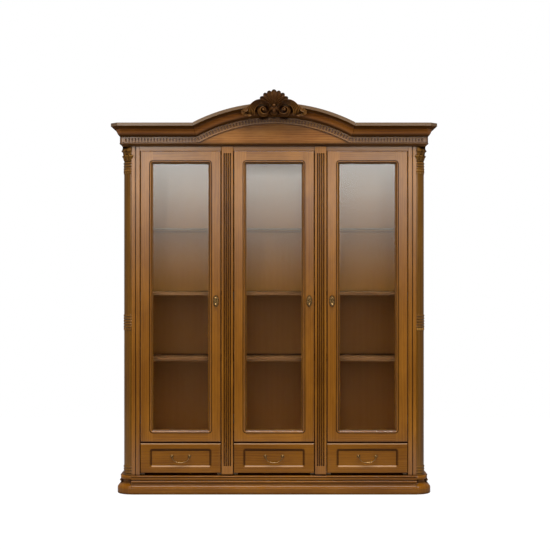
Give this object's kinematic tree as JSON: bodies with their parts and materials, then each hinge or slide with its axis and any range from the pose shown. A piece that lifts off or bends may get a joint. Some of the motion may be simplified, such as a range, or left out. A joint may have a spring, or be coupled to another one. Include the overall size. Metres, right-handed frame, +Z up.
{
  "type": "display cabinet",
  "caption": "Tall classical wooden display cabinet with glazed doors over drawers, turned corner columns, fluted pilasters, and an arched cornice with a carved crest.",
  "frame": {"origin": "on the floor, in the middle of the overall width and depth", "axes": "+X to the viewer's right, +Y towards the back, +Z up; the doors face -Y"},
  "size_m": [1.794, 0.48, 2.2198],
  "materials": {
    "walnut": "semi-gloss lacquer",
    "walnut_inside": "satin lacquer",
    "drawer_wood": "satin lacquer",
    "dark_carving": "dark stained, semi-gloss lacquer",
    "clear_glass": "polished",
    "antique_brass": "antique, polished high points",
    "nickel_steel": "nickel plated"
  },
  "bodies": {
    "cabinet": {"side_panel_left": "walnut", "side_panel_right": "walnut", "partition_left": "walnut_inside", "partition_right": "walnut_inside", "bottom_board": "walnut_inside", "drawer_decks": "walnut_inside", "top_board": "walnut", "back_panels": "walnut_inside", "pilaster_left": "walnut", "pilaster_right": "walnut", "face_stile_right": "walnut", "face_stile_left": "walnut", "top_rails": "walnut", "plinth_front": "walnut", "plinth_sides": "walnut", "plinth_corner_left": "walnut", "plinth_corner_right": "walnut", "column_left": "walnut", "column_right": "walnut", "capital_left": "dark_carving", "capital_right": "dark_carving", "bed_mould": "walnut", "dentil_band": "walnut", "crown_moulding": "walnut", "pediment_board": "walnut", "cornice_boards": "walnut_inside", "dust_board": "walnut_inside", "crest_carving": "dark_carving", "glass_shelves": "clear_glass", "wood_shelves": "walnut_inside", "shelf_pins": "antique_brass", "hinge_plates": "nickel_steel", "drawer_runners": "walnut_inside"},
    "door_left": {"door_left_frame": "walnut", "door_left_glass": "clear_glass", "door_left_hinge_cups": "nickel_steel", "door_left_pull_plate": "antique_brass"},
    "drop_left": {"door_left_drop": "antique_brass"},
    "drawer_left": {"drawer_left_front": "walnut", "drawer_left_box": "drawer_wood", "drawer_left_bail_posts": "antique_brass"},
    "bail_left": {"drawer_left_bail": "antique_brass"},
    "door_centre": {"door_centre_frame": "walnut", "door_centre_glass": "clear_glass", "door_centre_hinge_cups": "nickel_steel", "door_centre_pull_plate": "antique_brass"},
    "drop_centre": {"door_centre_drop": "antique_brass"},
    "drawer_centre": {"drawer_centre_front": "walnut", "drawer_centre_box": "drawer_wood", "drawer_centre_bail_posts": "antique_brass"},
    "bail_centre": {"drawer_centre_bail": "antique_brass"},
    "door_right": {"door_right_frame": "walnut", "door_right_glass": "clear_glass", "door_right_hinge_cups": "nickel_steel", "door_right_pull_plate": "antique_brass"},
    "drop_right": {"door_right_drop": "antique_brass"},
    "drawer_right": {"drawer_right_front": "walnut", "drawer_right_box": "drawer_wood", "drawer_right_bail_posts": "antique_brass"},
    "bail_right": {"drawer_right_bail": "antique_brass"}
  },
  "joints": [
    {"name": "door_left_hinge", "type": "hinge", "parent": "cabinet", "child": "door_left", "pos_m": [-0.7365, -0.164, 1.087], "axis": [0, 0, -1], "range_deg": [0, 100]},
    {"name": "drop_left_swing", "type": "hinge", "parent": "door_left", "child": "drop_left", "pos_m": [-0.3205, -0.176, 1.07837], "axis": [-1, 0, 0], "range_deg": [0, 80]},
    {"name": "drawer_left_slide", "type": "slide", "parent": "cabinet", "child": "drawer_left", "axis": [0, -1, 0], "range_m": [0, 0.3]},
    {"name": "bail_left_swing", "type": "hinge", "parent": "drawer_left", "child": "bail_left", "pos_m": [-0.515, -0.17, 0.205], "axis": [-1, 0, 0], "range_deg": [0, 85]},
    {"name": "door_centre_hinge", "type": "hinge", "parent": "cabinet", "child": "door_centre", "pos_m": [-0.2215, -0.164, 1.087], "axis": [0, 0, -1], "range_deg": [0, 100]},
    {"name": "drop_centre_swing", "type": "hinge", "parent": "door_centre", "child": "drop_centre", "pos_m": [0.1945, -0.176, 1.07837], "axis": [-1, 0, 0], "range_deg": [0, 80]},
    {"name": "drawer_centre_slide", "type": "slide", "parent": "cabinet", "child": "drawer_centre", "axis": [0, -1, 0], "range_m": [0, 0.3]},
    {"name": "bail_centre_swing", "type": "hinge", "parent": "drawer_centre", "child": "bail_centre", "pos_m": [0, -0.17, 0.205], "axis": [-1, 0, 0], "range_deg": [0, 85]},
    {"name": "door_right_hinge", "type": "hinge", "parent": "cabinet", "child": "door_right", "pos_m": [0.7365, -0.164, 1.087], "axis": [0, 0, 1], "range_deg": [0, 100]},
    {"name": "drop_right_swing", "type": "hinge", "parent": "door_right", "child": "drop_right", "pos_m": [0.3205, -0.176, 1.07837], "axis": [-1, 0, 0], "range_deg": [0, 80]},
    {"name": "drawer_right_slide", "type": "slide", "parent": "cabinet", "child": "drawer_right", "axis": [0, -1, 0], "range_m": [0, 0.3]},
    {"name": "bail_right_swing", "type": "hinge", "parent": "drawer_right", "child": "bail_right", "pos_m": [0.515, -0.17, 0.205], "axis": [-1, 0, 0], "range_deg": [0, 85]}
  ]
}
